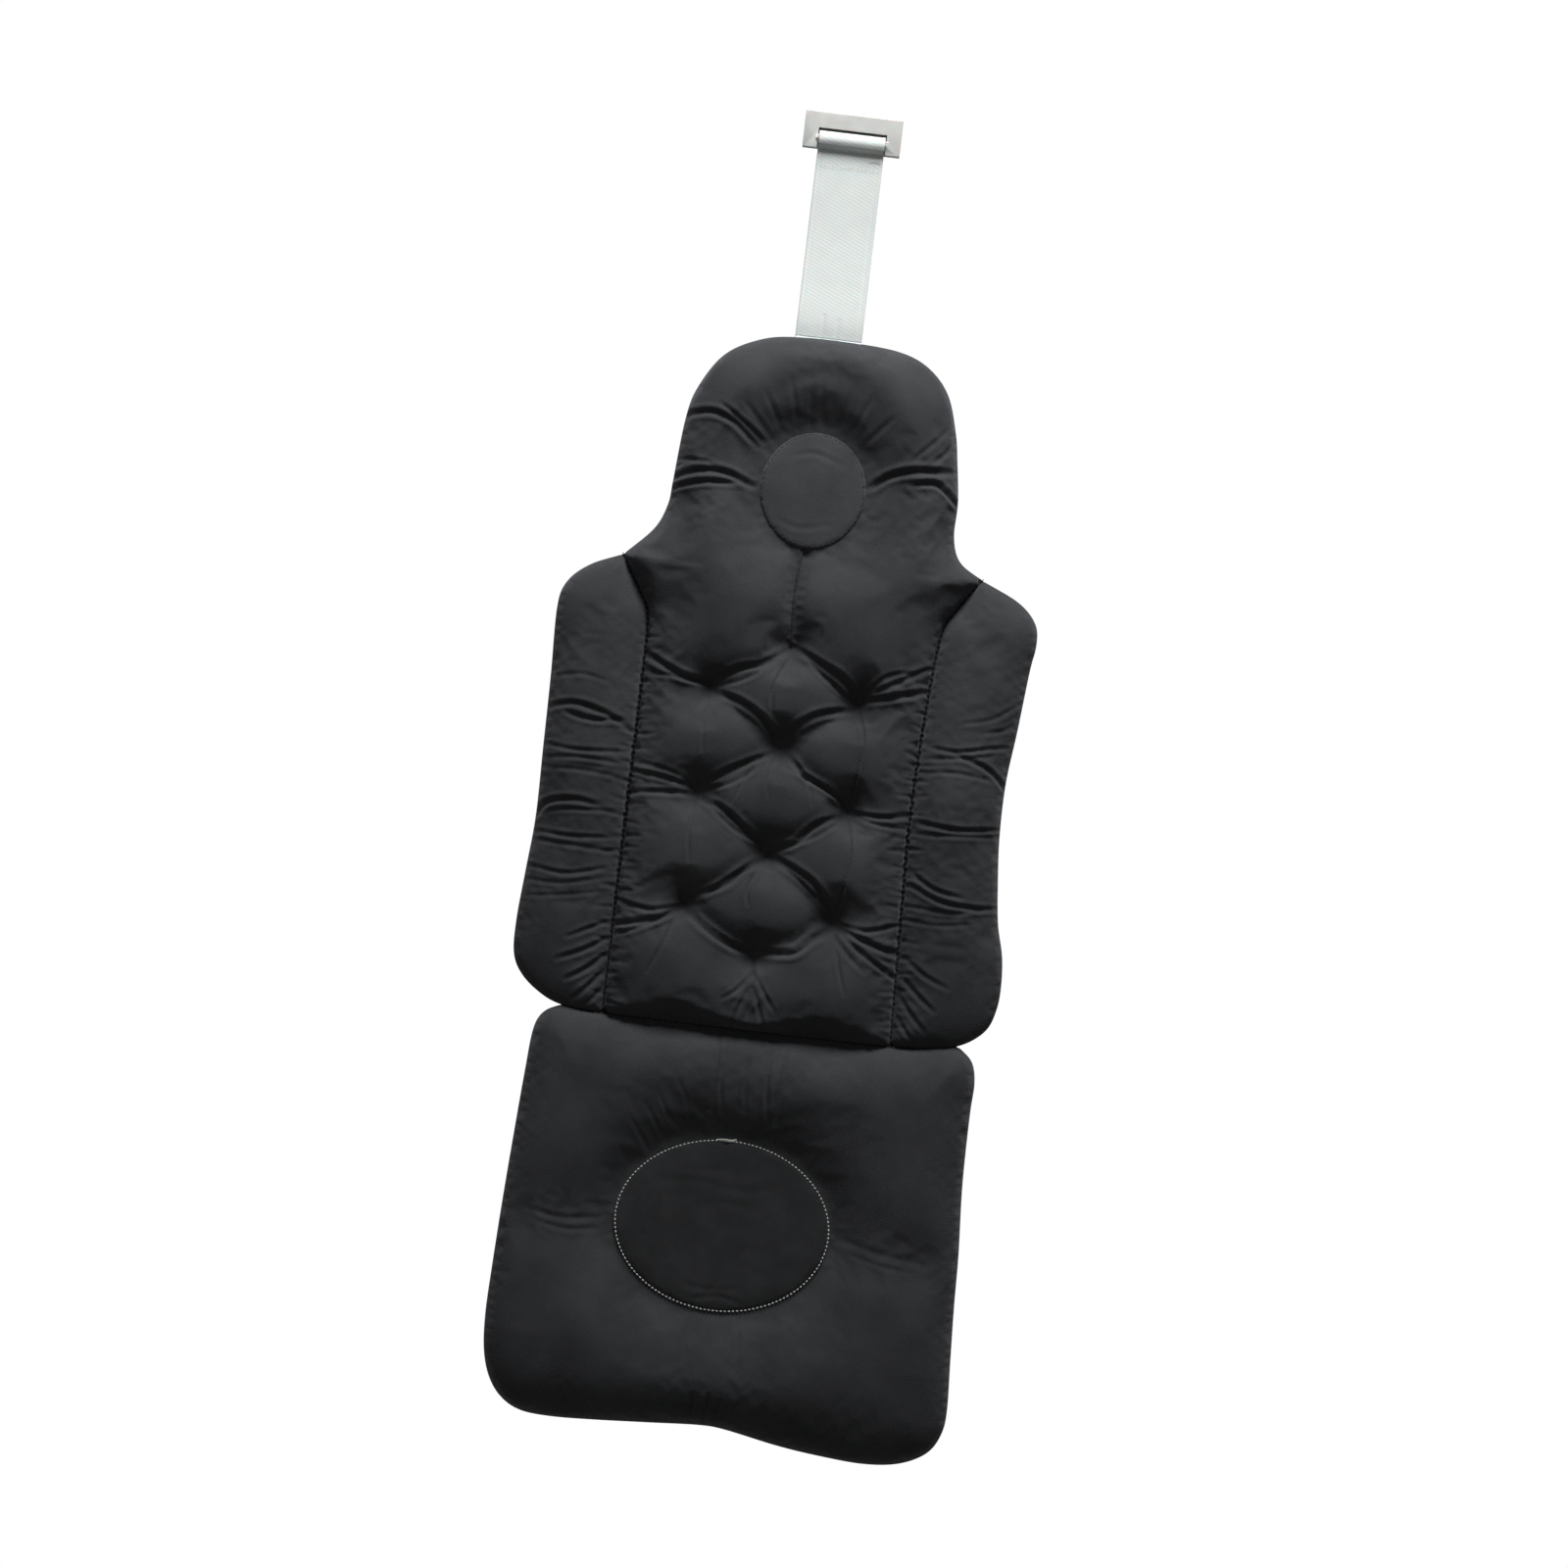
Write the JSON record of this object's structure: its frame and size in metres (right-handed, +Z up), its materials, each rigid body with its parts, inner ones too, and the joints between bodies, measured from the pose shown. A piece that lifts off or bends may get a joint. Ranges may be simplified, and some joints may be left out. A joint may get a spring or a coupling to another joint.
{
  "type": "bath pillow",
  "caption": "Full-length baby-bath pillow: tufted back with head ring and side bolsters, fold-down seat, and a webbing strap with a rim hook.",
  "frame": {"origin": "bottom centre of the whole object's box, on the floor it lies on", "axes": "+Y along the object's length, from the seat towards the head and the hook; +Z up, out of the padded face; +X to the right of someone who looks down on it with the head away from them"},
  "size_m": [0.2788, 0.7644, 0.0446],
  "materials": {
    "knit_cloth": "matte",
    "panel_cloth": "matte",
    "polyester_fibre": "matte",
    "black_thread": "matte",
    "pale_thread": "matte",
    "satin_webbing": "satin",
    "moulded_plastic": "satin"
  },
  "bodies": {
    "back_pad": {"back_front_cover": "knit_cloth", "back_rear_cover": "knit_cloth", "back_filling": "polyester_fibre", "tuft_tie_01": "black_thread", "tuft_tie_02": "black_thread", "tuft_tie_03": "black_thread", "tuft_tie_04": "black_thread", "tuft_tie_05": "black_thread", "tuft_tie_06": "black_thread", "tuft_tie_07": "black_thread", "tuft_tie_08": "black_thread", "tuft_tie_09": "black_thread", "tuft_tie_10": "black_thread", "head_panel": "panel_cloth", "strap_sewn_end": "satin_webbing", "seat_seam": "black_thread", "left_bolster_seam": "black_thread", "right_bolster_seam": "black_thread"},
    "left_bolster": {"left_bolster_front_cover": "knit_cloth", "left_bolster_rear_cover": "knit_cloth", "left_bolster_filling": "polyester_fibre"},
    "right_bolster": {"right_bolster_front_cover": "knit_cloth", "right_bolster_rear_cover": "knit_cloth", "right_bolster_filling": "polyester_fibre"},
    "seat_pad": {"seat_front_cover": "knit_cloth", "seat_rear_cover": "knit_cloth", "seat_filling": "polyester_fibre", "seat_panel": "panel_cloth", "seat_panel_stitching": "pale_thread"},
    "strap": {"strap": "satin_webbing", "loop_stitching": "pale_thread"},
    "hook": {"rim_hook": "moulded_plastic"}
  },
  "joints": [
    {"name": "seat_fold", "type": "hinge", "parent": "back_pad", "child": "seat_pad", "pos_m": [-0.00148, -0.14479, 0.022], "axis": [-1, 0, 0], "range_deg": [-45, 55]},
    {"name": "left_bolster_fold", "type": "hinge", "parent": "back_pad", "child": "left_bolster", "pos_m": [-0.08398, -0.14479, 0.022], "axis": [0, 1, 0], "range_deg": [-45, 55]},
    {"name": "right_bolster_fold", "type": "hinge", "parent": "back_pad", "child": "right_bolster", "pos_m": [0.08102, -0.14479, 0.022], "axis": [0, -1, 0], "range_deg": [-45, 55]},
    {"name": "strap_swing", "type": "hinge", "parent": "back_pad", "child": "strap", "pos_m": [-0.00198, 0.25221, 0.022], "axis": [1, 0, 0], "range_deg": [-70, 100]},
    {"name": "hook_swivel", "type": "hinge", "parent": "strap", "child": "hook", "pos_m": [-0.00198, 0.36621, 0.0166], "axis": [1, 0, 0], "range_deg": [-25, 120]}
  ]
}
